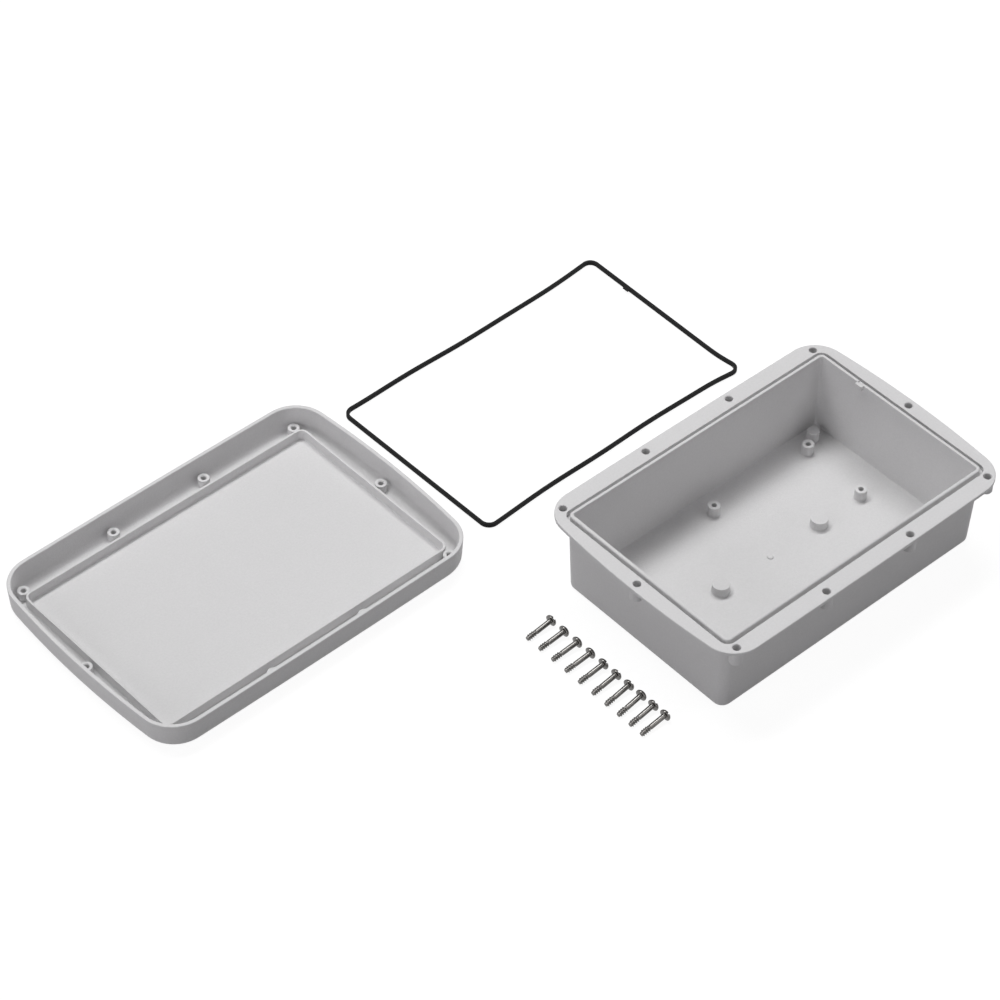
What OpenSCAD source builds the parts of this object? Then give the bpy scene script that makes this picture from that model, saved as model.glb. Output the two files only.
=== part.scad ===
// Flanged plastic project box, taken apart: a base, its screw-on lid, the
// gasket between them and ten screws. The pieces lie on one flat surface, the
// base and the lid with their insides up. The origin is the centre of the
// base's underside, +X runs along the base and +Z points up.

/* [Base] */
// Length of the base's body, at its flange
body_len = 182.8; // [160:0.2:240]
// Width of the base's body, at its flange
body_wid = 117; // [110:0.2:160]
// Height of the flange's top face
base_h = 50; // [30:0.5:80]
// Corner radius of the body, at its flange
body_corner = 8; // [7:0.5:9]
// Thickness of the floor
floor_t = 2.8; // [2:0.1:4]
// Draft of the outside walls, in degrees
outer_draft = 2.5; // [1:0.1:3]
// Draft of the inside walls, in degrees
inner_draft = 1; // [0.5:0.1:1.5]
// Rounding of the edge round the underside
foot_radius = 2.6; // [1:0.1:3]

/* [Flange] */
// How far the flange reaches past the body at each end
flange_out_end = 8.4; // [7.5:0.1:12]
// How far the flange reaches past the body at each side
flange_out_side = 9.9; // [9:0.1:14]
// Thickness of the flange
flange_t = 2.2; // [1.8:0.1:3]
// Corner radius of the flange
flange_corner = 17; // [12:0.5:20]
// Radius of the flange's bowed ends
end_bow = 570; // [400:10:1200]
// Radius of the flange's bowed sides
side_bow = 9700; // [4000:100:20000]
// Rounding of the flange's edges
flange_edge = 0.4; // [0.2:0.1:0.6]
// Height of the collar that backs the groove, under the flange
collar_h = 2.5; // [1.5:0.1:4]
// Thickness of that collar
collar_t = 1.5; // [1:0.1:2]

/* [Screw holes] */
// From the flange's edge to the middle holes
hole_inset = 4.4; // [4.2:0.1:5]
// From the flange's end to its corner holes
corner_hole_end = 11.8; // [11:0.1:13]
// From the flange's side to its corner holes
corner_hole_side = 6.8; // [6.5:0.1:8]
// Diameter of the clearance holes in the flange
screw_hole_d = 4.2; // [4:0.1:4.6]
// Diameter of the sleeves under the flange
sleeve_d = 7; // [6.6:0.1:7.6]
// Depth of the sleeves, from the flange's top face
sleeve_depth = 9.8; // [7:0.1:12]

/* [Sealing groove] */
// Width of the groove
groove_w = 1.8; // [1.6:0.1:2.2]
// Depth of the groove
groove_d = 3; // [2.4:0.1:3.2]
// Corner radius of the groove's outer side
seal_corner = 5; // [4.5:0.1:7]
// Thickness of the rim inside the groove
rim_t = 1.9; // [1.6:0.1:2.4]
// Rise of the rim over the flange
rim_h = 0.7; // [0.3:0.1:1.2]

/* [Floor bosses] */
// Height of the bosses and corner pegs over the floor
boss_h = 6.2; // [4:0.1:10]
// Diameter of the bosses for a circuit board
boss_d = 6.6; // [5.6:0.1:7]
// Diameter of their screw bores
boss_bore_d = 2.8; // [2.2:0.1:3.2]
// Floor left under the screw bores
boss_bore_skin = 1.2; // [0.8:0.1:2]
// From the end walls to the corner bosses
boss_end = 18.3; // [16:0.1:24]
// From the side walls to the bosses
boss_side = 12.5; // [11:0.1:16]
// From the end walls to the middle bosses
middle_boss_end = 21.3; // [18:0.1:26]
// Diameter of the two middle pegs
peg_d = 9.4; // [6:0.1:10]
// Height of the two middle pegs over the floor
peg_h = 5.2; // [3:0.1:8]
// Distance between the two middle pegs
peg_span = 70.4; // [40:0.1:90]
// Diameter of the corner pegs
corner_peg_d = 6.6; // [5:0.1:7]
// From the end walls to the corner pegs
corner_peg_end = 9.1; // [7:0.1:9.5]
// From the side walls to the corner pegs
corner_peg_side = 7.3; // [6:0.1:8]
// Diameter of the gate mark in the middle of the floor
gate_d = 3.2; // [1.5:0.1:4]
// Height of the gate mark
gate_h = 0.8; // [0.3:0.1:1]

/* [Lid] */
// Thickness of the lid's panel
panel_t = 2.4; // [2:0.1:2.8]
// Thickness of the lid's skirt
skirt_t = 2.2; // [1.8:0.1:3]
// Clearance between the skirt's edge and the flange
skirt_gap = 0.7; // [0.5:0.1:1.2]
// Draft of the skirt's outside, in degrees
skirt_draft = 3.4; // [1:0.1:4]
// Draft of the skirt's inside, in degrees
skirt_inner_draft = 2.2; // [0.5:0.1:2.5]
// Rounding between the lid's outer face and its skirt
lid_radius = 5.8; // [3:0.1:6.5]
// Diameter of the lid's screw bosses
lid_boss_d = 6.4; // [5.6:0.1:7]
// Diameter of the pilot holes in them
pilot_d = 2.8; // [2.4:0.1:2.9]
// Diameter of the pilot holes' countersunk mouths
pilot_mouth_d = 3.7; // [3.2:0.1:4.2]
// Material left under the pilot holes
pilot_skin = 0.8; // [0.6:0.1:1.5]
// Room left past the screws' tips in them
pilot_room = 0.2; // [0.1:0.1:0.6]
// Thickness of the rib that presses on the gasket
rib_t = 1.3; // [1:0.1:1.4]
// How far the rib reaches into the groove
rib_reach = 1.05; // [0.8:0.05:1.2]

/* [Gasket] */
// Width of the gasket's section
gasket_w = 1.7; // [1.4:0.1:2]
// Height of the gasket's section
gasket_h = 2.4; // [2:0.1:2.8]
// Corner radius of the loose gasket, along its middle line
gasket_corner = 5.5; // [4:0.1:8]
// How far the locating tab sticks out
tab_out = 2; // [1:0.1:2.5]
// Thickness of the locating tab
tab_t = 0.8; // [0.5:0.1:1]
// Width of the locating tab
tab_w = 4; // [2:0.1:6]
// Distance of the tab from the middle of its side
tab_y = 27; // [10:1:40]
// Clearance of the tab in its notch in the rim
tab_gap = 0.3; // [0.2:0.1:0.5]
// How far the rim's pad behind the notch stands inwards
pad_out = 1.8; // [1.2:0.1:3]
// Height of that pad
pad_h = 2.6; // [2:0.1:5]
// Slack that lets the loose gasket's sides bend inwards
gasket_sag = 1.5; // [0:0.1:2]
// Height of the ripples in its sides
gasket_wave = 0.25; // [0:0.05:0.5]
// How far one end is wider and the other narrower, to each side
gasket_flare = 0.3; // [0:0.1:1]
// How far that end leans out at one corner and in at the other
gasket_splay = 1.6; // [0:0.1:3]
// How far one corner is pushed outwards
gasket_kick = 1.9; // [0:0.1:3]

/* [Screws] */
// Diameter of the head
head_d = 6.3; // [5.5:0.1:6.8]
// Height of the head
head_h = 2.4; // [2:0.1:3]
// Length under the head
screw_len = 16; // [14:0.1:17]
// Diameter of the plain shank
shank_d = 2.4; // [2:0.1:2.6]
// Diameter of the thread
thread_d = 3.4; // [3:0.1:3.7]
// Length of the thread
thread_len = 6; // [4:0.1:8]
// Distance from one thread ridge to the next
thread_pitch = 1.3; // [0.9:0.1:1.5]
// Length of a slot of the cross recess
recess_len = 3.8; // [2.5:0.1:4.5]
// Width of a slot of the cross recess
recess_w = 0.8; // [0.5:0.1:1.2]
// Depth of the cross recess
recess_d = 1.4; // [0.8:0.1:1.6]

/* [Layout] */
// Space along X from the base to the lid
lid_away_x = 10.7; // [5:0.1:40]
// Space along Y from the base to the lid
lid_away_y = 26.7; // [5:0.1:60]
// Turn of the lid, in degrees
lid_turn = 0.7; // [0:0.1:2]
// Shift of the gasket along X from the base's middle
gasket_shift = -4; // [-6:0.5:6]
// Space along Y from the base to the gasket
gasket_away = 42.8; // [10:0.1:60]
// Turn of the gasket, in degrees
gasket_turn = 0.95; // [0:0.05:2]
// Space along X from the base to the screws
screws_away = 12; // [5:0.5:40]
// Shift of the row of screws along Y
screws_shift = -0.9; // [-20:0.1:20]
// Distance from one screw to the next
screw_step = 9.2; // [8:0.1:14]
// How far the row's screws stray from even places
screw_stray = 2; // [0:0.1:2.5]
// Turn of the screws, in degrees
screw_turn = 1.5; // [-10:0.5:10]
// How much the screws' turns differ, in degrees
screw_sway = 2.5; // [0:0.5:4]

/* [Hidden] */
$fn = 48;

arc_steps = 8;       // segments of a rounded corner
bow_steps = 4;       // segments of half a bowed side
side_steps = 16;     // segments of half a side of the gasket
eps = 0.01;          // overlap of solids that are joined
cut = 1;             // extra length of a cut

// Body: its half sizes at the flange, and what the drafts take off them
half_len = body_len / 2;
half_wid = body_wid / 2;
outer_taper = base_h * tan(outer_draft);
inner_taper = (base_h - floor_t) * tan(inner_draft);
rim_in = groove_w + rim_t;
floor_in = rim_in + inner_taper;
floor_len = half_len - floor_in;
floor_wid = half_wid - floor_in;
rim_top = base_h + rim_h;

// Flange: its reach from the middle and its ten holes
reach_x = half_len + flange_out_end;
reach_y = half_wid + flange_out_side;
corner_hole_x = reach_x - corner_hole_end;
corner_hole_y = reach_y - corner_hole_side;
side_hole_x = corner_hole_x / 3;
hole_places = [
    for (sx = [-1, 1], sy = [-1, 1]) [sx * corner_hole_x, sy * corner_hole_y],
    for (sx = [-1, 1], sy = [-1, 1]) [sx * side_hole_x, sy * (reach_y - hole_inset)],
    for (sx = [-1, 1]) [sx * (reach_x - hole_inset), 0]
];

// Floor: circuit board bosses and pegs
boss_places = [
    for (sx = [-1, 1], sy = [-1, 1]) [sx * (floor_len - boss_end), sy * (floor_wid - boss_side)],
    for (sx = [-1, 1]) [sx * (floor_len - middle_boss_end), 0],
    for (sy = [-1, 1]) [0, sy * (floor_wid - boss_side)]
];
corner_peg_places = [
    for (sx = [-1, 1], sy = [-1, 1])
        [sx * (floor_len - corner_peg_end), sy * (floor_wid - corner_peg_side)]
];

// Lid: heights over its outer face, which lies on the surface
pilot_depth = screw_len - sleeve_depth + pilot_room;
lid_boss_top = pilot_skin + pilot_depth;
lid_h = lid_boss_top + sleeve_depth;
skirt_out = skirt_gap + skirt_t;
skirt_taper = (lid_h - lid_radius) * tan(skirt_draft);
lid_inner_radius = max(lid_radius - skirt_t, 1);
skirt_inner_taper = (lid_h - panel_t - lid_inner_radius) * tan(skirt_inner_draft);
lid_x = -(2 * reach_x + skirt_out + lid_away_x);
lid_y = 2 * reach_y + skirt_out + lid_away_y;

// Gasket: the groove's middle line, which its rib shares
line_in = groove_w / 2;
gasket_y = reach_y + half_wid + gasket_away;
tab_x = gasket_bend([half_len - line_in - gasket_w / 2, tab_y]).x;

// Screws: a screw leans on its head's rim and on its last thread
head_edge = 0.5;
tip_len = 1;
ridge_d = (thread_d - shank_d) / 2;
ridges = floor((thread_len - tip_len) / thread_pitch);
last_ridge = screw_len - tip_len - thread_pitch / 2;
lean = atan((head_d - thread_d) / 2 / (last_ridge + head_edge));
screws_x = -(reach_x + screws_away + (screw_len + head_h) / 2);

// Points of an arc about a centre, from one angle to another
function arc(c, r, a0, a1, steps) = [
    for (i = [0:steps]) let (a = a0 + (a1 - a0) * i / steps) c + r * [cos(a), sin(a)]
];

// A closed outline with no point twice
function no_repeats(line) = [
    for (i = [0:len(line) - 1]) if (norm(line[i] - line[(i + 1) % len(line)]) > eps) line[i]
];

// The four quarters of an outline, from its points in the first quarter
function four_quarters(q) = let (n = len(q) - 1) no_repeats(concat(
    q,
    [for (i = [n:-1:0]) [-q[i].x, q[i].y]],
    [for (p = q) -p],
    [for (i = [n:-1:0]) [q[i].x, -q[i].y]]
));

// Outline this far inside the body's outside at the flange, whose own corner is given
function body_line(inset, corner = body_corner) = let (r = max(corner - inset, 0.5))
    four_quarters(arc([half_len - inset - r, half_wid - inset - r], r, 0, 90, arc_steps));

// Centre of the circle that rounds the corner of two bowed edges
function corner_centre(end_c, side_c, end_r, side_r) = let (
    d = norm(side_c - end_c),
    u = (side_c - end_c) / d,
    along = (d * d + end_r * end_r - side_r * side_r) / (2 * d),
    off = sqrt(end_r * end_r - along * along)
) end_c + along * u + off * [-u.y, u.x] * (u.x < 0 ? -1 : 1);

// Outline of the flange, grown by this much
function flange_line(grow) = let (
    r = flange_corner + grow,
    end_c = [reach_x - end_bow, 0],
    side_c = [0, reach_y - side_bow],
    c = corner_centre(end_c, side_c, end_bow - flange_corner, side_bow - flange_corner),
    end_a = atan2(c.y - end_c.y, c.x - end_c.x),
    side_a = atan2(c.y - side_c.y, c.x - side_c.x)
) four_quarters(concat(
    arc(end_c, end_bow + grow, 0, end_a, bow_steps),
    arc(c, r, end_a, side_a, arc_steps),
    arc(side_c, side_bow + grow, side_a, 90, bow_steps)
));

// One ring of a loft: an outline at a height
function ring(line, z) = [for (p = line) [p.x, p.y, z]];

// A closed solid through rings of equally many points, lowest ring first
module loft(rings) {
    n = len(rings[0]);
    top = (len(rings) - 1) * n;
    polyhedron(
        points = [for (r = rings) each r],
        faces = concat(
            [[for (i = [0:n - 1]) i]],
            [[for (i = [n - 1:-1:0]) top + i]],
            [for (k = [0:len(rings) - 2], i = [0:n - 1])
                [k * n + i, (k + 1) * n + i, (k + 1) * n + (i + 1) % n, k * n + (i + 1) % n]]
        )
    );
}

// A wall of even thickness that follows the groove
module body_band(inset_out, inset_in, h) {
    linear_extrude(h) difference() {
        polygon(body_line(inset_out, seal_corner));
        polygon(body_line(inset_in, seal_corner));
    }
}

// ---- Base ----

// Outside of the body, with a rounded edge round its underside
module body_block() {
    foot_in = outer_taper - foot_radius * tan(outer_draft);
    edge = [for (i = [0:3]) i * 30];
    loft(concat(
        [for (a = edge) ring(
            body_line(foot_in + foot_radius * (1 - sin(a))), foot_radius * (1 - cos(a)))],
        [ring(body_line(0), base_h)]
    ));
}

// Flange with rounded edges, and the collar that backs the groove
module flange_plate() {
    z0 = base_h - flange_t;
    loft([
        ring(flange_line(-flange_edge), z0),
        ring(flange_line(0), z0 + flange_edge),
        ring(flange_line(0), base_h - flange_edge),
        ring(flange_line(-flange_edge), base_h)
    ]);
    translate([0, 0, z0 - collar_h])
        linear_extrude(collar_h + flange_t / 2) polygon(body_line(-collar_t, seal_corner));
}

// Pad on the inside of the rim, behind the notch for the gasket's tab
module tab_pad() {
    translate([half_len - rim_in - pad_out, tab_y - tab_w / 2 - tab_gap, rim_top - pad_h])
        cube([pad_out + rim_t / 2, tab_w + 2 * tab_gap, pad_h]);
}

// Groove for the gasket, and the notch in the rim for its tab
module groove_cut() {
    translate([0, 0, base_h - groove_d]) body_band(0, groove_w, groove_d + cut);
    translate([half_len - groove_w - tab_out - tab_gap, tab_y - tab_w / 2, base_h])
        cube([tab_out + tab_gap + groove_w / 2, tab_w, rim_h + cut]);
}

// Bosses for a circuit board, pegs and gate mark, standing on the floor
module floor_bosses() {
    for (p = boss_places)
        translate([p.x, p.y, floor_t - eps]) cylinder(d = boss_d, h = boss_h + eps);
    for (sx = [-1, 1])
        translate([sx * peg_span / 2, 0, floor_t - eps]) cylinder(d = peg_d, h = peg_h + eps);
    for (p = corner_peg_places)
        translate([p.x, p.y, floor_t - eps]) cylinder(d = corner_peg_d, h = boss_h + eps);
    translate([0, 0, floor_t - eps]) cylinder(d = gate_d, h = gate_h + eps);
}

module base() color([0.84, 0.84, 0.85]) {
    difference() {
        union() {
            difference() {
                union() {
                    body_block();
                    flange_plate();
                    translate([0, 0, base_h - eps])
                        linear_extrude(rim_h + eps) polygon(body_line(groove_w, seal_corner));
                }
                loft([
                    ring(body_line(floor_in, seal_corner + inner_taper), floor_t),
                    ring(body_line(rim_in, seal_corner), base_h),
                    ring(body_line(rim_in, seal_corner), rim_top + cut)
                ]);
            }
            tab_pad();
            floor_bosses();
            for (p = hole_places)
                translate([p.x, p.y, base_h - sleeve_depth])
                    cylinder(d = sleeve_d, h = sleeve_depth - flange_t / 2);
        }
        groove_cut();
        for (p = hole_places)
            translate([p.x, p.y, base_h - sleeve_depth - cut])
                cylinder(d = screw_hole_d, h = sleeve_depth + 2 * cut);
        for (p = boss_places)
            translate([p.x, p.y, boss_bore_skin])
                cylinder(d = boss_bore_d, h = floor_t + boss_h);
    }
}

// ---- Lid ----

// Outside of the lid: its face down, a rounded edge and the drafted skirt
module lid_block() {
    edge_out = skirt_out - skirt_taper;
    edge = [for (i = [0:6]) i * 15];
    loft(concat(
        [for (a = edge) ring(
            flange_line(edge_out - lid_radius * (1 - sin(a))), lid_radius * (1 - cos(a)))],
        [ring(flange_line(skirt_out), lid_h)]
    ));
}

// Inside of the lid, down to its panel
module lid_hollow() {
    edge_out = skirt_gap - skirt_inner_taper;
    edge = [for (i = [0:4]) i * 22.5];
    loft(concat(
        [for (a = edge) ring(
            flange_line(edge_out - lid_inner_radius * (1 - sin(a))),
            panel_t + lid_inner_radius * (1 - cos(a)))],
        [ring(flange_line(skirt_gap), lid_h), ring(flange_line(skirt_gap), lid_h + cut)]
    ));
}

module lid() color([0.84, 0.84, 0.85]) {
    translate([lid_x, lid_y, 0]) rotate([0, 0, lid_turn]) difference() {
        union() {
            difference() {
                lid_block();
                lid_hollow();
            }
            translate([0, 0, panel_t - eps])
                body_band(line_in - rib_t / 2, line_in + rib_t / 2,
                    lid_boss_top + rib_reach - panel_t + eps);
            for (p = hole_places)
                translate([p.x, p.y, panel_t - eps])
                    cylinder(d = lid_boss_d, h = lid_boss_top - panel_t + eps);
        }
        for (p = hole_places)
            translate([p.x, p.y, pilot_skin]) {
                cylinder(d = pilot_d, h = pilot_depth + cut);
                translate([0, 0, pilot_depth - (pilot_mouth_d - pilot_d) / 2])
                    cylinder(d1 = pilot_d, d2 = pilot_mouth_d, h = (pilot_mouth_d - pilot_d) / 2 + eps);
            }
    }
}

// ---- Gasket ----

// Points of a straight line between two points
function steps(a, b, n) = [for (i = [0:n]) a + (b - a) * i / n];

// Outline of the loose gasket: the groove's middle line, grown and bent
function gasket_line(grow) = let (
    r = gasket_corner + grow,
    x = half_len - line_in + grow,
    y = half_wid - line_in + grow,
    quarter = concat(
        steps([x, 0], [x, y - r], 4),
        arc([x - r, y - r], r, 0, 90, arc_steps),
        steps([x - r, y], [0, y], side_steps)
    )
) [for (p = four_quarters(quarter)) gasket_bend(p)];

// A point of the gasket, moved as its sides sag and ripple, one end spreads and a corner is pushed
function gasket_bend(p) = let (
    t = p.x / (half_len - line_in),
    side = p.y / (half_wid - line_in),
    spread = gasket_flare * t - gasket_sag * (1 - pow(min(abs(t), 1), 3)),
    ripple = sin(450 * t - 40) + 2 * max(side, 0) * cos(225 * t + 110),
    splay = gasket_splay * side * (1 + t) / 2,
    kick = gasket_kick * exp(-pow((t - 1) * 7, 2) - pow((side + 1) * 6, 2))
) [p.x + splay + kick, p.y + side * spread + gasket_wave * ripple - kick];

module gasket() color([0.07, 0.07, 0.075]) {
    translate([gasket_shift, gasket_y, 0]) rotate([0, 0, gasket_turn]) {
        linear_extrude(gasket_h) difference() {
            polygon(gasket_line(gasket_w / 2));
            polygon(gasket_line(-gasket_w / 2));
        }
        translate([tab_x - tab_out, tab_y - tab_w / 2, gasket_h - tab_t])
            cube([tab_out + gasket_w / 2, tab_w, tab_t]);
    }
}

// ---- Screws ----

// Half section of a screw, from the middle of its head to its tip
function screw_section() = let (
    r = head_d / 2,
    s = shank_d / 2,
    first = screw_len - tip_len - ridges * thread_pitch
) concat(
    [[0, -head_h]],
    [for (a = [15:15:75]) [r * sin(a), -head_edge - (head_h - head_edge) * cos(a)]],
    [[r, -head_edge], [r - 0.2, 0], [s, 0], [s, first]],
    [for (i = [0:ridges - 1]) each [
        [s + ridge_d, first + (i + 0.5) * thread_pitch], [s, first + (i + 1) * thread_pitch]]],
    [[0, screw_len]]
);

// A screw along +X with its head's underside at the origin
module screw() {
    rotate([0, 90, 0]) difference() {
        rotate_extrude($fn = 36) polygon(screw_section());
        for (a = [0, 90])
            rotate([0, 0, a]) translate([-recess_len / 2, -recess_w / 2, -head_h - cut])
                cube([recess_len, recess_w, recess_d + cut]);
    }
}

// A screw as it lies: leaning on its head's rim and on its last thread
module screw_at_rest(roll) {
    translate([0, 0, head_d / 2 * cos(lean) - head_edge * sin(lean)])
        rotate([0, lean, 0]) rotate([roll, 0, 0]) screw();
}

module lid_screws() color([0.75, 0.75, 0.74]) {
    last = len(hole_places) - 1;
    for (i = [0:last]) {
        stray = screw_stray * sin(180 * pow(i / last, 1.5));
        turn = screw_turn - screw_sway * sin(360 * i / last);
        translate([screws_x, screws_shift + (last / 2 - i) * screw_step - stray, 0])
            rotate([0, 0, 180 + turn]) translate([(head_h - screw_len) / 2, 0, 0])
                screw_at_rest(i * 37);
    }
}

base();
lid();
gasket();
lid_screws();
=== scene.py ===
"""Flanged plastic project box, taken apart: base, lid, loose gasket and ten screws."""

import math

import bmesh
import bpy
from mathutils import Matrix, Vector


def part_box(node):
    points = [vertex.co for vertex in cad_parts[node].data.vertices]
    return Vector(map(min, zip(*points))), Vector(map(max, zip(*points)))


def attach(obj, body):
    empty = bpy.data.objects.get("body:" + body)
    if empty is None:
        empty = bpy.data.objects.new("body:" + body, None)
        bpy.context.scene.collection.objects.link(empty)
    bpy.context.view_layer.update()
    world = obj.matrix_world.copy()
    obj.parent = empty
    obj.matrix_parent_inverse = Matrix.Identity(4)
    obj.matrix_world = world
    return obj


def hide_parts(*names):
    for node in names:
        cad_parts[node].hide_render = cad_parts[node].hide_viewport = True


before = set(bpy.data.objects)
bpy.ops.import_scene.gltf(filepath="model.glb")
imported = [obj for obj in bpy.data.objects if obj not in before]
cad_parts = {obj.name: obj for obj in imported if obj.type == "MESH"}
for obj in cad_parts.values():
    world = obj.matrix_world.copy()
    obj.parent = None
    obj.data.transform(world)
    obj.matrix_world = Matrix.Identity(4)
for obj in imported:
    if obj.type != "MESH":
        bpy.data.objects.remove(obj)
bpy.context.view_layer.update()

MM = 0.001

# ---- Sizes, in millimetres ----
# Most are the solids' own. The screws' shank, thread root, drive, turns and lift, the tops of
# the tab and its pad, and the rounding of small edges are this script's.

base_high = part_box("base")[1]
lid_low, lid_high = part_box("lid")
gasket_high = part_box("gasket")[1]

REACH_X = base_high.x / MM              # half the flange's length
REACH_Y = base_high.y / MM              # half the flange's width
RIM_TOP = base_high.z / MM
LID_H = lid_high.z / MM

FLANGE_OUT_END = 8.4                    # flange past the body, at an end
FLANGE_OUT_SIDE = 9.9                   # flange past the body, at a side
HALF_LEN = REACH_X - FLANGE_OUT_END     # half the body's length at the flange
HALF_WID = REACH_Y - FLANGE_OUT_SIDE
BODY_CORNER = 8
RIM_H = 0.7                             # rim over the flange's top face
BASE_H = RIM_TOP - RIM_H                # top face of the flange
FLOOR_T = 2.8
OUTER_DRAFT = math.radians(2.5)
INNER_DRAFT = math.radians(1)
FOOT_RADIUS = 2.6
FLANGE_T = 2.2
FLANGE_CORNER = 17
END_BOW = 570                           # radius of the flange's edge at an end
SIDE_BOW = 9700                         # radius of the flange's edge at a side
COLLAR_H = 2.5                          # collar under the flange
COLLAR_T = 1.5
GROOVE_W = 1.8
GROOVE_D = 3
SEAL_CORNER = 5                         # corner radius of the groove's outside
RIM_T = 1.9
RIM_IN = GROOVE_W + RIM_T
RIM_CORNER = SEAL_CORNER - RIM_IN       # corner radius of the inside
FLOOR_IN = RIM_IN + (BASE_H - FLOOR_T) * math.tan(INNER_DRAFT)

HOLE_INSET = 4.4                        # the other holes from the flange's edge
CORNER_HOLE_END = 11.8                  # a corner hole from the flange's end
CORNER_HOLE_SIDE = 6.8
SCREW_HOLE_R = 2.1
SLEEVE_R = 3.5
SLEEVE_DEPTH = 9.8                      # sleeve from the flange's top face
SLEEVE_EDGE = 0.3

BOSS_H = 6.2
BOSS_R = 3.3
BOSS_BORE_R = 1.4
BOSS_BORE_SKIN = 1.2                    # plastic left under a boss's bore
BOSS_END = 18.3                         # a corner boss from the floor's end
BOSS_SIDE = 12.5                        # a boss from the floor's side
MIDDLE_BOSS_END = 21.3
PEG_R = 4.7
PEG_H = 5.2
PEG_X = 35.2
CORNER_PEG_R = 3.3
CORNER_PEG_END = 9.1
CORNER_PEG_SIDE = 7.3
GATE_R = 1.6                            # moulding gate's mark in the middle of the floor
GATE_H = 0.8

TAB_Y = 27                              # the gasket's tab and its notch in the rim
TAB_W = 4
TAB_OUT = 2
TAB_T = 0.8
TAB_DOWN = 0.05                         # from the gasket's top down to the tab's
TAB_GAP = 0.3
PAD_OUT = 1.8                           # pad inside the wall, under the notch
PAD_H = 2.6
PAD_DOWN = 0.02                         # from the rim's top down to the pad's

PANEL_T = 2.4
SKIRT_T = 2.2
SKIRT_GAP = 0.7
SKIRT_OUT = SKIRT_GAP + SKIRT_T
SKIRT_DRAFT = math.radians(3.4)
SKIRT_INNER_DRAFT = math.radians(2.2)
LID_RADIUS = 5.8
LID_BOSS_R = 3.2
LID_BOSS_TOP = LID_H - SLEEVE_DEPTH
PILOT_R = 1.4
PILOT_MOUTH_R = 1.85
PILOT_SKIN = 0.8
RIB_T = 1.3
RIB_REACH = 1.05                        # rib past the bosses' tops, into the groove
RIB_FOOT_T = 0.4                        # the rib widens by this much a side at its foot
RIB_FOOT_H = 0.5
LID_TURN = math.radians(0.7)

GASKET_W = 1.7
GASKET_H = gasket_high.z / MM
GASKET_EDGE = 0.25
GASKET_CORNER = 5.5
GASKET_SAG = 1.5                        # the long sides' middles, pulled in
GASKET_WAVE = 0.25                      # height of the ripples
GASKET_FLARE = 0.3                      # the +X end spreads and the -X end narrows
GASKET_SPLAY = 1.6                      # the +X end slants
GASKET_KICK = 1.9                       # the corner at +X and -Y, pushed out
KICK_FADE_X = 7                         # how fast that push fades away from the corner
KICK_FADE_Y = 6
RIPPLE = 450                            # degrees of ripple in half the length
RIPPLE_START = -40
FAR_RIPPLE = 225                        # a slower, taller ripple on the +Y side alone
FAR_RIPPLE_START = 110
FAR_RIPPLE_SHARE = 2
GASKET_TURN = math.radians(0.95)
GASKET_SHIFT = -4
GASKET_AWAY = 42.8

HEAD_R = 3.15
HEAD_H = 2.4
HEAD_EDGE = 0.5
SCREW_LEN = 16
SHANK_R = 1.38
ROOT_R = 1.12                           # between the ridges of the thread
THREAD_R = 1.7
THREAD_LEN = 6
THREAD_PITCH = 1.3
RIDGE_HALF = 0.32                       # half a ridge's width, as a share of the pitch
RIDGE_START = 0.8                       # the ridge grows over this length, from the shank
RIDGE_END = 0.5                         # and fades over this one, at the tip
THREAD_ROWS = 14                        # rows of points in a turn of the thread
TIP_LEN = 1
SCREWS_AWAY = 12                        # the row of screws from the flange's end
SCREWS_SHIFT = -0.9
SCREW_STEP = 9.2
SCREW_STRAY = 2                         # how far a screw strays from even steps
SCREW_LIFT = 0.045                      # so that no screw dips into the table
# A slot right across the head, and the short blades of a cross:
# turn, width, depth, length at the bottom and length at the top
DRIVE_BLADES = ((0, 1.3, 1.6, 7, 7),
                (0, 0.75, 1.8, 2.2, 4.4),
                (math.pi / 2, 0.75, 1.8, 2.2, 4.4))
HEAD_TURNS = (-35, 25, 44, 67, -48, -25, -32, 33, -22, -43)    # degrees, one for each screw
SCREW_TURN = math.radians(1.5)
SCREW_SWAY = math.radians(2.5)

BOW_STEPS = 10                          # segments of half a bowed side
ARC_STEPS = 16                          # segments of a rounded corner
CAP_IN = 12                             # a tray's flat cap starts this far in from its corner
SINK = 0.8                              # how deep an added shape reaches into the face under it
CUT = 1                                 # how far a cutting shape runs past the face it cuts
CORNERS = ((-1, -1), (-1, 1), (1, -1), (1, 1))


# ---- Outlines ----

def arc(centre, radius, start, end, steps):
    """Points of an arc, from one angle to another."""
    angles = [start + (end - start) * i / steps for i in range(steps + 1)]
    return [(centre[0] + radius * math.cos(a), centre[1] + radius * math.sin(a)) for a in angles]


def line(a, b, steps):
    """Points of a straight line, both ends included."""
    return [(a[0] + (b[0] - a[0]) * i / steps, a[1] + (b[1] - a[1]) * i / steps)
            for i in range(steps + 1)]


def four_quarters(quarter):
    """The closed outline whose first quarter runs from the X axis to the Y axis."""
    back = quarter[::-1]
    turns = [quarter, [(-x, y) for x, y in back], [(-x, -y) for x, y in quarter],
             [(x, -y) for x, y in back]]
    return [p for turn in turns for p in turn[:-1]]


def quarter_of(end, corner, side):
    """A quarter outline from its three stretches, with no point twice."""
    return end[:-1] + corner[:-1] + side


def body_line(inset, corner=BODY_CORNER):
    """Outline this far inside the body's outside at the flange, whose own corner is given."""
    r = max(corner - inset, 0.5)
    x, y = HALF_LEN - inset, HALF_WID - inset
    return four_quarters(quarter_of(
        line((x, 0), (x, y - r), BOW_STEPS),
        arc((x - r, y - r), r, 0, math.pi / 2, ARC_STEPS),
        line((x - r, y), (0, y), BOW_STEPS)))


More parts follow.
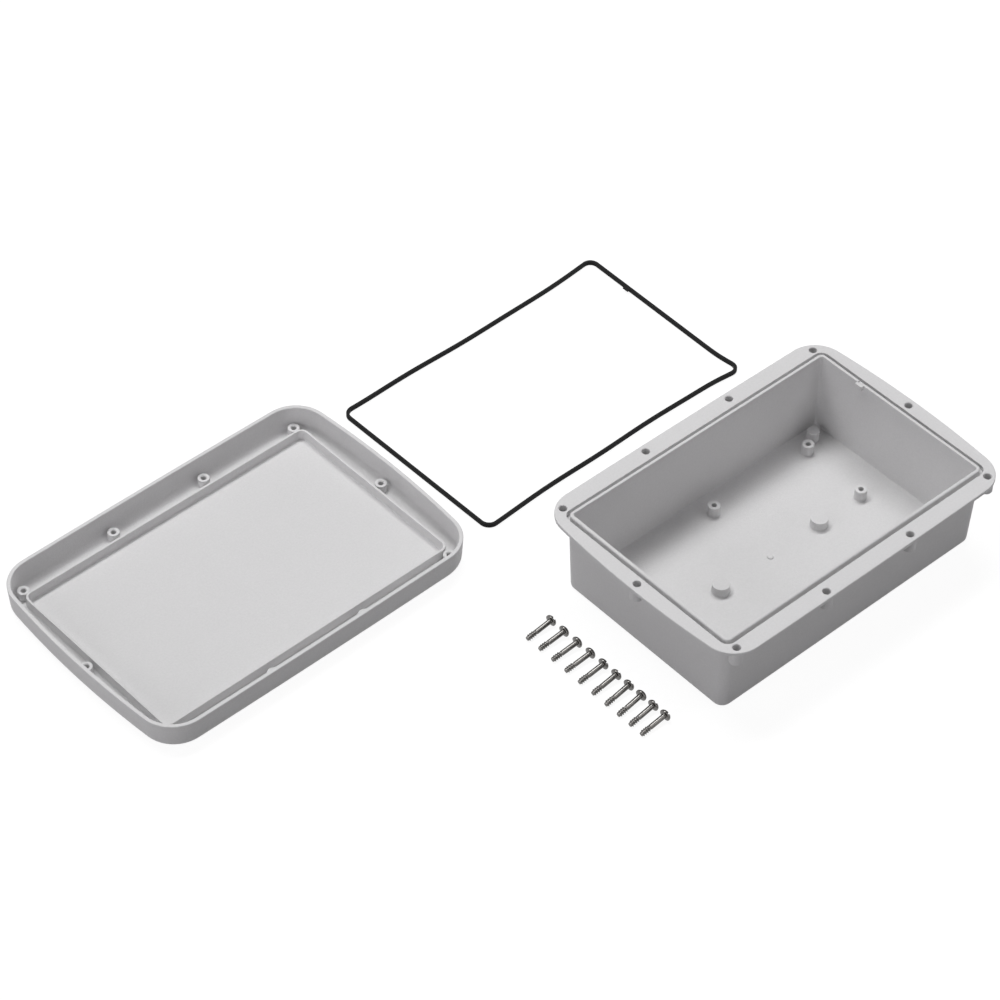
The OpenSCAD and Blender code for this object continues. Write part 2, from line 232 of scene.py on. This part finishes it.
def corner_centre():
    """Centre of the circle that rounds the flange's corner between its two bowed edges."""
    end, side = Vector((REACH_X - END_BOW, 0)), Vector((0, REACH_Y - SIDE_BOW))
    end_r, side_r = END_BOW - FLANGE_CORNER, SIDE_BOW - FLANGE_CORNER
    span = (side - end).length
    along = (span ** 2 + end_r ** 2 - side_r ** 2) / (2 * span)
    off = math.sqrt(end_r ** 2 - along ** 2)
    u = (side - end) / span
    across = Vector((-u.y, u.x))
    spots = [end + along * u + s * off * across for s in (-1, 1)]
    return max(spots, key=lambda p: p.x + p.y)


def flange_line(grow):
    """Outline of the flange, grown by this much."""
    c = corner_centre()
    end, side = (REACH_X - END_BOW, 0), (0, REACH_Y - SIDE_BOW)
    end_a = math.atan2(c.y - end[1], c.x - end[0])
    side_a = math.atan2(c.y - side[1], c.x - side[0])
    return four_quarters(quarter_of(
        arc(end, END_BOW + grow, 0, end_a, BOW_STEPS),
        arc(c, FLANGE_CORNER + grow, end_a, side_a, ARC_STEPS),
        arc(side, SIDE_BOW + grow, side_a, math.pi / 2, BOW_STEPS)))


HOLES = (
    [(sx * (REACH_X - CORNER_HOLE_END), sy * (REACH_Y - CORNER_HOLE_SIDE)) for sx, sy in CORNERS]
    + [(sx * (REACH_X - CORNER_HOLE_END) / 3, sy * (REACH_Y - HOLE_INSET)) for sx, sy in CORNERS]
    + [(sx * (REACH_X - HOLE_INSET), 0) for sx in (-1, 1)]
)


# ---- Meshes ----

def new_object(name, bm):
    """A scene object from a bmesh in millimetres, with outward normals."""
    bmesh.ops.recalc_face_normals(bm, faces=bm.faces)
    bmesh.ops.scale(bm, vec=(MM, MM, MM), verts=bm.verts)
    mesh = bpy.data.meshes.new(name)
    bm.to_mesh(mesh)
    bm.free()
    obj = bpy.data.objects.new(name, mesh)
    bpy.context.scene.collection.objects.link(obj)
    return obj


def add_rings(bm, rings, closed=False):
    """Joins rings of equally many points with quads; caps the ends unless the rings close."""
    rows = [[bm.verts.new(p) for p in ring] for ring in rings]
    count = len(rows[0])
    pairs = list(zip(rows, rows[1:]))
    if closed:
        pairs.append((rows[-1], rows[0]))
    for low, high in pairs:
        for i in range(count):
            j = (i + 1) % count
            bm.faces.new((low[i], low[j], high[j], high[i]))
    if not closed:
        bm.faces.new(rows[0])
        bm.faces.new(rows[-1])


def add_turned(bm, profile, place=(0, 0), steps=48):
    """Adds a turned solid; its profile is (radius, height) pairs, both ends on the axis."""
    low = bm.verts.new((*place, profile[0][1]))
    high = bm.verts.new((*place, profile[-1][1]))
    angles = [2 * math.pi * i / steps for i in range(steps)]
    rows = []
    for radius, height in profile[1:-1]:
        rows.append([bm.verts.new((place[0] + radius * math.cos(a),
                                   place[1] + radius * math.sin(a), height)) for a in angles])
    for i in range(steps):
        j = (i + 1) % steps
        bm.faces.new((low, rows[0][j], rows[0][i]))
        bm.faces.new((high, rows[-1][i], rows[-1][j]))
        for a, b in zip(rows, rows[1:]):
            bm.faces.new((a[i], a[j], b[j], b[i]))


def add_block(bm, low, high):
    """Adds a block between two corners."""
    size = [h - l for l, h in zip(low, high)]
    made = bmesh.ops.create_cube(bm, size=1)["verts"]
    bmesh.ops.scale(bm, vec=size, verts=made)
    bmesh.ops.translate(bm, vec=[(l + h) / 2 for l, h in zip(low, high)], verts=made)


def at_height(outline, z):
    """The points of an outline at one height."""
    return [(x, y, z) for x, y in outline]


def round_section(points, steps=4):
    """Rounds a section's corners: points are (kind, offset, height, radius)."""
    rings = []
    count = len(points)
    for i, (kind, offset, z, radius) in enumerate(points):
        before, after = points[i - 1], points[(i + 1) % count]
        if radius == 0:
            rings.append((kind, offset, z))
            continue
        here = Vector((offset, z))
        to_a = Vector((section_offset(before, kind), before[2])) - here
        to_b = Vector((section_offset(after, kind), after[2])) - here
        half = to_a.angle(to_b) / 2
        cut = radius / math.tan(half)
        a, b = here + to_a.normalized() * cut, here + to_b.normalized() * cut
        middle = (to_a.normalized() + to_b.normalized()).normalized()
        centre = here + middle * radius / math.sin(half)
        for k in range(steps + 1):
            spot = a.lerp(b, k / steps) - centre
            spot = centre + spot.normalized() * radius
            rings.append((kind, spot.x, spot.y))
    return rings


def section_offset(point, kind):
    """A section point's offset as seen from another outline, good enough for a direction."""
    if "flange" not in (point[0], kind) or point[0] == kind:
        return point[1]
    return point[1] - FLANGE_OUT_SIDE if kind == "flange" else point[1] + FLANGE_OUT_SIDE


def section_rings(section):
    """Rings of points from a rounded section. Offsets grow outwards for each outline."""
    outline = {"body": lambda offset: body_line(-offset),
               "seal": lambda offset: body_line(-offset, SEAL_CORNER),
               "inside": lambda offset: body_line(-offset, RIM_CORNER - offset),
               "flange": flange_line}
    return [at_height(outline[kind](offset), z) for kind, offset, z in section]


def combine(obj, other, operation):
    """Adds a solid to an object, or takes it away, and deletes the solid."""
    step = obj.modifiers.new("combine", "BOOLEAN")
    step.object = other
    step.operation = operation
    step.solver = "MANIFOLD"
    graph = bpy.context.evaluated_depsgraph_get()
    mesh = bpy.data.meshes.new_from_object(obj.evaluated_get(graph))
    obj.modifiers.clear()
    obj.data = mesh
    bpy.data.objects.remove(other)


def shade(obj, angle=32):
    """Smooth shading that keeps hard edges hard and flat faces flat."""
    for face in obj.data.polygons:
        face.use_smooth = True
    obj.data.set_sharp_from_angle(angle=math.radians(angle))
    flat = obj.modifiers.new("flat faces", "WEIGHTED_NORMAL")
    flat.keep_sharp = True
    flat.weight = 100


# ---- Base ----

def base_shell():
    """The tray in one section: out over the flange, down the groove and in to the floor."""
    wall_low = -BASE_H * math.tan(OUTER_DRAFT)
    wall_high = -(FLANGE_T + COLLAR_H) * math.tan(OUTER_DRAFT)
    under = BASE_H - FLANGE_T
    section = round_section([
        ("body", wall_low - CAP_IN, 0, 0),
        ("body", wall_low, 0, FOOT_RADIUS),
        ("body", wall_high, under - COLLAR_H, 0.3),
        ("seal", COLLAR_T, under - COLLAR_H, 0.3),
        ("seal", COLLAR_T, under, 0.4),
        ("flange", 0, under, 0.4),
        ("flange", 0, BASE_H, 0.5),
        ("seal", 0, BASE_H, 0.15),
        ("seal", 0, BASE_H - GROOVE_D, 0.2),
        ("seal", -GROOVE_W, BASE_H - GROOVE_D, 0.2),
        ("seal", -GROOVE_W, RIM_TOP, 0.85),
        ("inside", -RIM_IN, RIM_TOP, 0.4),
        ("inside", -FLOOR_IN, FLOOR_T, 0.4),
        ("inside", -FLOOR_IN - CAP_IN, FLOOR_T, 0),
    ])
    bm = bmesh.new()
    add_rings(bm, section_rings(section))
    return new_object("base_tray", bm)


def add_boss(bm, place, radius, foot, top, root=0.5, edge=0.3):
    """Adds a round boss that stands on a face, with a rounded root and top edge."""
    quarter = [math.radians(a) for a in (0, 22.5, 45, 67.5, 90)]
    profile = [(0, foot - SINK), (radius + root, foot - SINK)]
    profile += [(radius + root * (1 - math.sin(a)), foot + root * (1 - math.cos(a)))
                for a in quarter]
    profile += [(radius - edge * (1 - math.cos(a)), top - edge * (1 - math.sin(a)))
                for a in quarter]
    add_turned(bm, profile + [(0, top)], place)


def add_bore(bm, place, radius, low, top, mouth):
    """Adds the shape of a drilled hole, with a chamfered mouth at its top."""
    add_turned(bm, [(0, low), (radius, low), (radius, top - mouth), (radius + mouth, top),
                    (radius + mouth, top + CUT), (0, top + CUT)], place)


def make_base():
    """The base: its tray, then bosses, pegs, sleeves and pad added, then bores and notch cut."""
    tray = base_shell()
    floor_x, floor_y = HALF_LEN - FLOOR_IN, HALF_WID - FLOOR_IN
    bosses = ([(sx * (floor_x - BOSS_END), sy * (floor_y - BOSS_SIDE)) for sx, sy in CORNERS]
              + [(sx * (floor_x - MIDDLE_BOSS_END), 0) for sx in (-1, 1)]
              + [(0, sy * (floor_y - BOSS_SIDE)) for sy in (-1, 1)])
    top = FLOOR_T + BOSS_H

    added = bmesh.new()
    for place in bosses:
        add_boss(added, place, BOSS_R, FLOOR_T, top)
    for side in (-1, 1):
        add_boss(added, (side * PEG_X, 0), PEG_R, FLOOR_T, FLOOR_T + PEG_H)
    for sx, sy in CORNERS:
        add_boss(added, (sx * (floor_x - CORNER_PEG_END), sy * (floor_y - CORNER_PEG_SIDE)),
                 CORNER_PEG_R, FLOOR_T, top)
    add_boss(added, (0, 0), GATE_R, FLOOR_T, FLOOR_T + GATE_H, root=0.4, edge=0.5)
    end = BASE_H - SLEEVE_DEPTH
    for place in HOLES:
        add_turned(added, [(0, end), (SLEEVE_R - SLEEVE_EDGE, end), (SLEEVE_R, end + SLEEVE_EDGE),
                           (SLEEVE_R, BASE_H - FLANGE_T / 2), (0, BASE_H - FLANGE_T / 2)], place)
    add_block(added, (HALF_LEN - RIM_IN - PAD_OUT, TAB_Y - TAB_W / 2 - TAB_GAP, RIM_TOP - PAD_H),
              (HALF_LEN - RIM_IN + RIM_T / 2, TAB_Y + TAB_W / 2 + TAB_GAP, RIM_TOP - PAD_DOWN))
    combine(tray, new_object("added", added), "UNION")

    taken = bmesh.new()
    for place in HOLES:
        add_bore(taken, place, SCREW_HOLE_R, end - CUT, BASE_H, mouth=0.3)
    for place in bosses:
        add_bore(taken, place, BOSS_BORE_R, BOSS_BORE_SKIN, top, mouth=0.25)
    add_block(taken, (HALF_LEN - GROOVE_W - TAB_OUT - TAB_GAP, TAB_Y - TAB_W / 2, BASE_H),
              (HALF_LEN - GROOVE_W / 2, TAB_Y + TAB_W / 2, RIM_TOP + CUT))
    combine(tray, new_object("taken", taken), "DIFFERENCE")
    shade(tray)
    return tray


# ---- Lid ----

def lid_shell():
    """The lid's tray in one section, from its outer face over the skirt to its panel."""
    outer = SKIRT_OUT - LID_H * math.tan(SKIRT_DRAFT)
    inner = SKIRT_GAP - (LID_H - PANEL_T) * math.tan(SKIRT_INNER_DRAFT)
    section = round_section([
        ("flange", outer - CAP_IN, 0, 0),
        ("flange", outer, 0, LID_RADIUS),
        ("flange", SKIRT_OUT, LID_H, 0.5),
        ("flange", SKIRT_GAP, LID_H, 0.5),
        ("flange", inner, PANEL_T, LID_RADIUS - SKIRT_T),
        ("flange", inner - CAP_IN, PANEL_T, 0),
    ], steps=8)
    bm = bmesh.new()
    add_rings(bm, section_rings(section))
    return new_object("lid_tray", bm)


def make_lid():
    """The lid: its tray, then the rib and the bosses added, then the pilot holes cut."""
    tray = lid_shell()
    rib_top = LID_BOSS_TOP + RIB_REACH
    line_in = GROOVE_W / 2
    outside, inside = -line_in + RIB_T / 2, -line_in - RIB_T / 2
    section = round_section([
        ("seal", outside + RIB_FOOT_T, PANEL_T - SINK, 0),
        ("seal", outside + RIB_FOOT_T, PANEL_T, 0),
        ("seal", outside, PANEL_T + RIB_FOOT_H, 0),
        ("seal", outside, rib_top, 0.3),
        ("seal", inside, rib_top, 0.3),
        ("seal", inside, PANEL_T + RIB_FOOT_H, 0),
        ("seal", inside - RIB_FOOT_T, PANEL_T, 0),
        ("seal", inside - RIB_FOOT_T, PANEL_T - SINK, 0),
    ])
    added = bmesh.new()
    add_rings(added, section_rings(section), closed=True)
    combine(tray, new_object("rib", added), "UNION")
    added = bmesh.new()
    for place in HOLES:
        add_boss(added, place, LID_BOSS_R, PANEL_T, LID_BOSS_TOP)
    combine(tray, new_object("bosses", added), "UNION")
    taken = bmesh.new()
    for place in HOLES:
        add_bore(taken, place, PILOT_R, PILOT_SKIN, LID_BOSS_TOP, PILOT_MOUTH_R - PILOT_R)
    combine(tray, new_object("pilots", taken), "DIFFERENCE")
    shade(tray)
    middle = ((lid_low + lid_high) / 2).xy.to_3d()
    tray.data.transform(Matrix.Translation(middle) @ Matrix.Rotation(LID_TURN, 4, "Z"))
    return tray


# ---- Gasket ----

def gasket_bend(x, y):
    """A point of the gasket, moved as its sides ripple, one end spreads and a corner is pushed."""
    t, side = x / (HALF_LEN - GROOVE_W / 2), y / (HALF_WID - GROOVE_W / 2)
    spread = GASKET_FLARE * t - GASKET_SAG * (1 - min(abs(t), 1) ** 3)
    far = FAR_RIPPLE_SHARE * max(side, 0)
    ripple = (math.sin(math.radians(RIPPLE * t + RIPPLE_START))
              + far * math.cos(math.radians(FAR_RIPPLE * t + FAR_RIPPLE_START)))
    splay = GASKET_SPLAY * side * (1 + t) / 2
    kick = GASKET_KICK * math.exp(-((t - 1) * KICK_FADE_X) ** 2 - ((side + 1) * KICK_FADE_Y) ** 2)
    return x + splay + kick, y + side * spread + GASKET_WAVE * ripple - kick


def gasket_path(grow, steps=40):
    """The groove's middle line, grown and bent, in many short steps."""
    r = GASKET_CORNER + grow
    x, y = HALF_LEN - GROOVE_W / 2 + grow, HALF_WID - GROOVE_W / 2 + grow
    outline = four_quarters(quarter_of(
        line((x, 0), (x, y - r), steps // 2),
        arc((x - r, y - r), r, 0, math.pi / 2, ARC_STEPS),
        line((x - r, y), (0, y), steps)))
    return [gasket_bend(*p) for p in outline]


def make_gasket():
    """A rubber band of rounded section that follows the bent groove line, with its tab."""
    half_w, half_h = GASKET_W / 2, GASKET_H / 2
    section = []
    for sx, sy in ((1, -1), (1, 1), (-1, 1), (-1, -1)):
        centre = (sx * (half_w - GASKET_EDGE), sy * (half_h - GASKET_EDGE))
        start = math.atan2(sy, sx) - math.pi / 4
        section += arc(centre, GASKET_EDGE, start, start + math.pi / 2, steps=4)
    outer, inner = gasket_path(half_w), gasket_path(-half_w)
    count = len(outer)
    rings = []
    for u, v in section:
        ring = []
        for i in range(count):
            share = u / GASKET_W + 0.5
            x = inner[i][0] + (outer[i][0] - inner[i][0]) * share
            y = inner[i][1] + (outer[i][1] - inner[i][1]) * share
            ring.append((x, y, half_h + v))
        rings.append(ring)
    bm = bmesh.new()
    add_rings(bm, rings, closed=True)
    ring = new_object("gasket_ring", bm)
    tab = bmesh.new()
    tab_x = gasket_bend(HALF_LEN - GROOVE_W / 2 - half_w, TAB_Y)[0]
    add_block(tab, (tab_x - TAB_OUT, TAB_Y - TAB_W / 2, GASKET_H - TAB_T - TAB_DOWN),
              (tab_x + half_w, TAB_Y + TAB_W / 2, GASKET_H - TAB_DOWN))
    bmesh.ops.bevel(tab, geom=tab.edges, offset=0.2, segments=2, affect="EDGES", profile=0.5)
    combine(ring, new_object("tab", tab), "UNION")
    shade(ring, angle=40)
    middle = Vector((GASKET_SHIFT, REACH_Y + HALF_WID + GASKET_AWAY, 0)) * MM
    ring.data.transform(Matrix.Translation(middle) @ Matrix.Rotation(GASKET_TURN, 4, "Z"))
    return ring


# ---- Screws ----

def thread_height(turn, along):
    """How far the thread's ridge stands over its root at a place on the screw."""
    first, last = SCREW_LEN - THREAD_LEN, SCREW_LEN - TIP_LEN * 0.4
    if not first < along < last:
        return 0
    phase = (along / THREAD_PITCH - turn) % 1
    ridge = max(0, 1 - abs(phase - 0.5) / RIDGE_HALF)
    fade = min(1, (along - first) / RIDGE_START, (last - along) / RIDGE_END)
    return ridge * fade * (THREAD_R - ROOT_R)


def screw_profile():
    """(radius, place along the screw) pairs from the middle of the head to the tip."""
    dome = HEAD_H - HEAD_EDGE
    head = [(HEAD_R * math.sin(a), -HEAD_EDGE - dome * math.cos(a))
            for a in (math.radians(8 * k) for k in range(1, 12))]
    edge, edge_cut = 0.25, 0.07             # rounding of the head's lower edge
    head += [(HEAD_R, -HEAD_EDGE), (HEAD_R, -edge), (HEAD_R - edge_cut, -edge_cut),
             (HEAD_R - edge, 0)]
    root, root_cut = 0.3, 0.09              # rounding where the shank meets the head
    neck = [(SHANK_R + root, 0), (SHANK_R + root_cut, root_cut), (SHANK_R, root)]
    first = SCREW_LEN - THREAD_LEN
    shoulder = 0.3                          # slope from the shank down to the thread's root
    shank = [(SHANK_R, first / 2), (SHANK_R, first - shoulder)]
    rows = int(THREAD_LEN / THREAD_PITCH * THREAD_ROWS)
    thread = [(ROOT_R, first + THREAD_LEN * k / rows) for k in range(rows)]
    tip = [(ROOT_R * 0.8, SCREW_LEN - 0.05), (ROOT_R * 0.5, SCREW_LEN)]
    return head + neck + shank + thread + tip


def screw_mesh(steps=40):
    """A self-tapping screw with a relieved shank, along +X from its head."""
    bm = bmesh.new()
    profile = screw_profile()
    rows = []
    for radius, along in profile:
        row = []
        for i in range(steps):
            turn = i / steps
            r = radius + thread_height(turn, along)
            row.append((along, r * math.cos(2 * math.pi * turn), r * math.sin(2 * math.pi * turn)))
        rows.append(row)
    add_rings(bm, rows)
    screw = new_object("screw", bm)
    for turn, width, depth, deep_len, top_len in DRIVE_BLADES:
        cut = bmesh.new()
        blade = bmesh.ops.create_cube(cut, size=1)["verts"]
        for vert in blade:
            deep = vert.co.x > 0
            vert.co = Vector((-HEAD_H + depth if deep else -HEAD_H - CUT,
                              vert.co.y * width,
                              vert.co.z * (deep_len if deep else top_len)))
        bmesh.ops.rotate(cut, cent=(0, 0, 0), matrix=Matrix.Rotation(turn, 3, "X"), verts=blade)
        combine(screw, new_object("drive", cut), "DIFFERENCE")
    lathe = screw.data.attributes.new("lathe_place", "FLOAT_VECTOR", "POINT")
    for vert, spot in zip(screw.data.vertices, lathe.data):
        spot.vector = vert.co
    shade(screw, angle=35)
    return screw


def make_screws():
    """Ten screws in a row, each leaning on its head's rim and on its thread."""
    first = screw_mesh()
    last_ridge = SCREW_LEN - TIP_LEN - THREAD_PITCH / 2
    lean = math.atan((HEAD_R - THREAD_R) / (last_ridge + HEAD_EDGE))
    rise = HEAD_R * math.cos(lean) - HEAD_EDGE * math.sin(lean) + SCREW_LIFT
    row_x = -(REACH_X + SCREWS_AWAY + (SCREW_LEN + HEAD_H) / 2)
    last = len(HOLES) - 1
    screws = []
    for i in range(last + 1):
        stray = SCREW_STRAY * math.sin(math.pi * (i / last) ** 1.5)
        turn = SCREW_TURN - SCREW_SWAY * math.sin(2 * math.pi * i / last)
        row_y = SCREWS_SHIFT + (last / 2 - i) * SCREW_STEP - stray
        screw = first.copy()
        screw.name = f"lid_screw_{i + 1}"
        screw.data = first.data.copy()
        bpy.context.scene.collection.objects.link(screw)
        place = Matrix.Translation(Vector((row_x, row_y, 0)) * MM)
        place @= Matrix.Rotation(math.pi + turn, 4, "Z")
        place @= Matrix.Translation(Vector(((HEAD_H - SCREW_LEN) / 2, 0, rise)) * MM)
        place @= Matrix.Rotation(lean, 4, "Y")
        place @= Matrix.Rotation(math.radians(HEAD_TURNS[i]), 4, "X")
        screw.data.transform(place)
        screws.append(screw)
    bpy.data.objects.remove(first)
    return screws


# ---- Materials ----

class Value:
    """A node's output, in shader maths written as plain expressions."""

    def __init__(self, maker, link):
        self.maker, self.link = maker, link

    def math(self, operation, other=None, swap=False):
        """Adds a Math node on this value, and on another value or number."""
        inputs = [self, other] if other is not None else [self]
        if swap:
            inputs.reverse()
        return self.maker.node("ShaderNodeMath", {"operation": operation}, inputs)

    def __add__(self, other):
        return self.math("ADD", other)

    def __radd__(self, other):
        return self.math("ADD", other)

    def __sub__(self, other):
        return self.math("SUBTRACT", other)

    def __rsub__(self, other):
        return self.math("SUBTRACT", other, swap=True)

    def __mul__(self, other):
        return self.math("MULTIPLY", other)

    def __rmul__(self, other):
        return self.math("MULTIPLY", other)

    def clamp(self):
        """The value, kept between nought and one."""
        return self.math("MINIMUM", 1.0).math("MAXIMUM", 0.0)


class Shader:
    """The nodes of a material or of the world, and the one way that they are added."""

    def __init__(self, owner):
        self.owner = owner
        owner.use_nodes = True
        self.tree = owner.node_tree
        self.tree.nodes.clear()

    def node(self, kind, settings=None, inputs=None, output=0):
        """Adds a node; inputs is a list, or a dict of socket names, of values or links."""
        node = self.tree.nodes.new(kind)
        for key, value in (settings or {}).items():
            setattr(node, key, value)
        inputs = inputs or {}
        pairs = inputs.items() if isinstance(inputs, dict) else enumerate(inputs)
        for key, value in pairs:
            if isinstance(value, Value):
                self.tree.links.new(value.link, node.inputs[key])
            else:
                node.inputs[key].default_value = value
        return Value(self, node.outputs[output])

    def noise(self, where, scale, detail=2.0, rough=0.5):
        """Noise about 0.5, with a feature every 1 / scale metres."""
        return self.node("ShaderNodeTexNoise", {"noise_dimensions": "3D"},
                         {"Vector": where, "Scale": scale, "Detail": detail, "Roughness": rough})

    def mix(self, share, a, b):
        """A colour between two colours."""
        return self.node("ShaderNodeMix", {"data_type": "RGBA"}, {0: share, 6: a, 7: b}, output=2)

    def place(self):
        """The place on the piece, in metres."""
        return self.node("ShaderNodeTexCoord", output=3)

    def seen(self):
        """One where a ray is seen, straight or in a reflection, and nought in soft light."""
        rays = [self.node("ShaderNodeLightPath", output=f"Is {kind} Ray")
                for kind in ("Camera", "Glossy", "Transmission")]
        return (rays[0] + rays[1] + rays[2]).clamp()

    def finish(self, shader, kind="Material"):
        """Sends a shader to the output, and gives the material or the world back."""
        out = self.tree.nodes.new(f"ShaderNodeOutput{kind}")
        self.tree.links.new(shader.link, out.inputs["Surface"])
        return self.owner


def new_material(name):
    """The nodes of a new material."""
    return Shader(bpy.data.materials.new(name))


def grey_plastic():
    """Moulded light grey ABS: a fine spark-eroded grain, small flecks and slight clouding."""
    m = new_material("light grey moulded ABS")
    where = m.place()
    cloud = m.noise(where, 14, 3)
    fleck = m.noise(where, 900, 2, 0.6)
    grain = m.noise(where, 1500, 3, 0.65)
    share = (cloud * 0.5 + fleck * 0.7 - 0.1).clamp()
    dark, pale = (0.62, 0.617, 0.62, 1), (0.745, 0.742, 0.744, 1)
    colour = m.mix(share, dark, pale)
    bump = m.node("ShaderNodeBump", {}, {"Strength": 0.8, "Distance": 0.00018, "Height": grain})
    return m.finish(m.node("ShaderNodeBsdfPrincipled", {}, {
        "Base Color": colour, "Roughness": 0.52 + (cloud - 0.5) * 0.1 + (fleck - 0.5) * 0.12,
        "Specular IOR Level": 0.4, "Normal": bump}))


def black_rubber():
    """Black moulded rubber with a dusty bloom and a fine grain."""
    m = new_material("black moulded rubber")
    where = m.place()
    bloom = m.noise(where, 60, 3)
    grain = m.noise(where, 2500, 2, 0.6)
    clean, dusty = (0.003, 0.003, 0.0032, 1), (0.009, 0.009, 0.0095, 1)
    colour = m.mix((bloom * 1.6 - 0.3).clamp(), clean, dusty)
    bump = m.node("ShaderNodeBump", {}, {"Strength": 0.3, "Distance": 0.00006, "Height": grain})
    return m.finish(m.node("ShaderNodeBsdfPrincipled", {}, {
        "Base Color": colour, "Roughness": 0.6 + (bloom - 0.5) * 0.25,
        "Specular IOR Level": 0.12, "Normal": bump}))


def stainless_steel():
    """Dark steel with turning marks round the screw and a little dullness.

    Its colour is painted shade: well under that of bright stainless steel, standing in for the
    dark surroundings that steel reflects, so that the screws stay dark beside white surroundings.
    """
    m = new_material("stainless steel")
    where = m.node("ShaderNodeAttribute", {"attribute_name": "lathe_place"}, output=1)
    along = m.node("ShaderNodeVectorMath", {"operation": "MULTIPLY"}, [where, (1.0, 0.03, 0.03)])
    marks = m.noise(along, 6000, 2, 0.6)
    dull = m.noise(where, 500, 2)
    # painted shade: both colours sit well under bright steel's, for dark surroundings in its
    # reflections
    dark, bright = (0.08, 0.077, 0.074, 1), (0.18, 0.175, 0.167, 1)
    colour = m.mix(dull, dark, bright)
    bump = m.node("ShaderNodeBump", {}, {"Strength": 0.12, "Distance": 0.00002, "Height": marks})
    return m.finish(m.node("ShaderNodeBsdfPrincipled", {}, {
        "Base Color": colour, "Metallic": 1.0, "Roughness": 0.1 + dull * 0.12,
        "Normal": bump}))


def dress(obj, slot, material, *nodes):
    """Gives a piece its finish, lets it ride on the part and stand for its solid."""
    obj.data.materials.clear()
    obj.data.materials.append(material)
    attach(obj, "root")
    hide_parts(*nodes)


# ---- Pieces ----

plastic = grey_plastic()
dress(make_base(), "grey_plastic", plastic, "base")
dress(make_lid(), "grey_plastic", plastic, "lid")
dress(make_gasket(), "black_rubber", black_rubber(), "gasket")
steel = stainless_steel()
for screw in make_screws():
    dress(screw, "stainless_steel", steel, "lid_screws")


# ---- Surroundings ----

LAMP_TARGET = Vector((-0.1, 0.1, 0))    # near the middle of the pieces, in metres
LAMP_AWAY = 2.2                         # in metres
LILAC = (1, 0.98, 1.01)                 # tint of the weaker lights


def make_floor():
    """A wide white table top that keeps the pieces' shadows."""
    bm = bmesh.new()
    bmesh.ops.create_grid(bm, x_segments=1, y_segments=1, size=4000)
    table = new_object("table_top", bm)
    table.location.z = -0.2 * MM            # clear of the pieces' undersides
    m = new_material("white table top")
    glow = m.node("ShaderNodeEmission", {}, {"Color": (1, 1, 1, 1), "Strength": 1.1})
    white = m.node("ShaderNodeBsdfDiffuse", {}, {"Color": (0.95, 0.95, 0.95, 1)})
    seen = m.node("ShaderNodeMixShader", {}, [0.84, white, glow])
    lit = m.node("ShaderNodeBsdfDiffuse", {}, {"Color": (0.36, 0.36, 0.36, 1)})
    table.data.materials.append(m.finish(m.node("ShaderNodeMixShader", {}, [m.seen(), lit, seen])))


def make_world(ambient):
    """Surroundings that look white, yet give the pieces only this much soft light."""
    m = Shader(bpy.data.worlds.new("studio"))
    white, lit = (m.node("ShaderNodeBackground", {}, {"Color": (1, 1, 1, 1), "Strength": strength})
                  for strength in (1.0, ambient))
    bpy.context.scene.world = m.finish(
        m.node("ShaderNodeMixShader", {}, [m.seen(), lit, white]), "World")


def soft_box(name, azimuth, elevation, power, wide=1.2, high=1.2, colour=(1, 1, 1)):
    """A soft light that shines at the middle of the pieces from a compass direction."""
    lamp = bpy.data.lights.new(name, "AREA")
    lamp.shape = "RECTANGLE"
    lamp.size, lamp.size_y = wide, high
    lamp.energy = power
    lamp.color = colour
    obj = bpy.data.objects.new(name, lamp)
    bpy.context.scene.collection.objects.link(obj)
    turn, rise = math.radians(azimuth), math.radians(elevation)
    flat = math.cos(rise)
    back = Vector((math.cos(turn) * flat, math.sin(turn) * flat, math.sin(rise)))
    obj.location = LAMP_TARGET + back * LAMP_AWAY
    obj.rotation_euler = (-back).to_track_quat("-Z", "Y").to_euler()


def make_camera():
    """A long lens, 45 degrees above the table, with a slight roll."""
    eye = Vector((-0.8942, -0.7851, 1.2403))
    target = Vector((-0.0748, 0.1230, 0))
    roll = math.radians(0.75)
    data = bpy.data.cameras.new("camera")
    data.lens = 121
    data.sensor_width = 36
    data.clip_end = 20
    camera = bpy.data.objects.new("camera", data)
    bpy.context.scene.collection.objects.link(camera)
    look = (target - eye).to_track_quat("-Z", "Y").to_matrix().to_4x4()
    camera.matrix_world = Matrix.Translation(eye) @ look @ Matrix.Rotation(roll, 4, "Z")
    bpy.context.scene.camera = camera


make_floor()
make_world(0.0)
soft_box("key light", 70, 71, 38, wide=1.8, high=0.6)
soft_box("left light", 180, 20, 14, colour=LILAC)
soft_box("front light", 270, 20, 4.5, colour=LILAC)
soft_box("right light", 315, 50, 6, colour=LILAC)
make_camera()
bpy.context.scene.view_settings.view_transform = "Standard"
